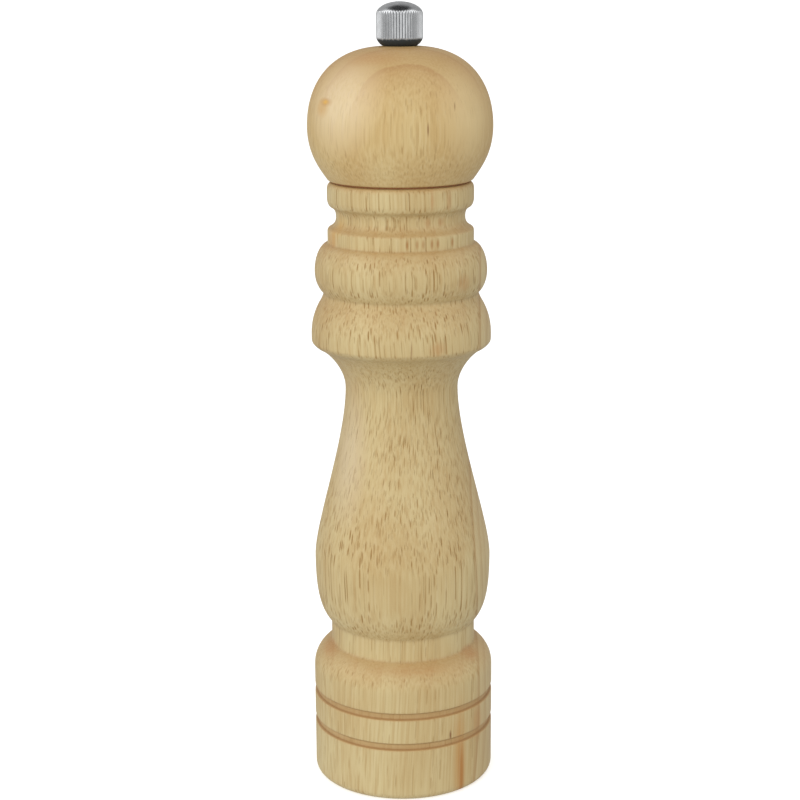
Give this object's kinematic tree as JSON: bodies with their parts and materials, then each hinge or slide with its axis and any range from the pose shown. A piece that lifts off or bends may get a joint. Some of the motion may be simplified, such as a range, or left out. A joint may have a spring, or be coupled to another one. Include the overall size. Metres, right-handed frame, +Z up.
{
  "type": "pepper mill",
  "caption": "Tall turned-wood pepper mill: domed head on a baluster body, with a knurled metal finial nut, a square rod and a steel burr grinder in the foot.",
  "frame": {"origin": "centre of the flat foot that the mill stands on", "axes": "+Z up along the turning axis, towards the finial; X along the retaining bar in the foot"},
  "size_m": [0.05, 0.05, 0.2138],
  "materials": {
    "body_wood": "satin lacquer on pale rubberwood, grain along the axis",
    "head_wood": "satin lacquer on pale rubberwood, a little warmer than the body",
    "fibre": "dark hard fibre",
    "finial_chrome": "polished chrome plate, knurled side",
    "insert_brass": "machined",
    "pressed_steel": "zinc plated",
    "screw_steel": "bright zinc plated",
    "rod_aluminium": "drawn bar",
    "spring_steel": "spring wire",
    "burr_steel": "hardened, dark phosphate"
  },
  "bodies": {
    "barrel": {"body": "body_wood", "stator": "burr_steel", "stator_sleeve": "pressed_steel", "spring_bridge": "pressed_steel", "bridge_rivets": "screw_steel", "spring": "spring_steel", "retaining_bar": "pressed_steel", "retaining_bar_screws": "screw_steel", "flange_screws": "screw_steel"},
    "seam": {"seam_washer": "fibre"},
    "head": {"head": "head_wood", "drive_plate": "pressed_steel", "drive_plate_screws": "screw_steel"},
    "finial": {"finial_nut": "finial_chrome", "finial_insert": "insert_brass"},
    "thrust": {"thrust_washer": "screw_steel"},
    "spindle": {"spindle": "rod_aluminium", "rotor": "burr_steel", "rotor_washer": "screw_steel", "retaining_clip": "spring_steel"}
  },
  "joints": [
    {"name": "head_lift", "type": "slide", "parent": "barrel", "child": "seam", "axis": [0, 0, 1], "range_m": [0, 0.056]},
    {"name": "head_turn", "type": "hinge", "parent": "seam", "child": "head", "pos_m": [0, 0, 0.1675], "axis": [0, 0, 1], "continuous": true},
    {"name": "finial_turn", "type": "hinge", "parent": "head", "child": "finial", "pos_m": [0, 0, 0.2024], "axis": [0, 0, 1], "range_deg": [-450, 0]},
    {"name": "grind_gap", "type": "slide", "parent": "barrel", "child": "thrust", "axis": [0, 0, 1], "range_m": [0, 0.001], "stiffness_N_per_m": 1650, "springref_m": -0.004, "deforming": ["spring"]},
    {"name": "spindle_turn", "type": "hinge", "parent": "thrust", "child": "spindle", "pos_m": [0, 0, 0.0225], "axis": [0, 0, 1], "continuous": true}
  ],
  "couplings": [
    {"joint": "finial_turn", "follows": "grind_gap", "rad_per_m": -7854},
    {"joint": "spindle_turn", "follows": "head_turn", "ratio": 1}
  ]
}
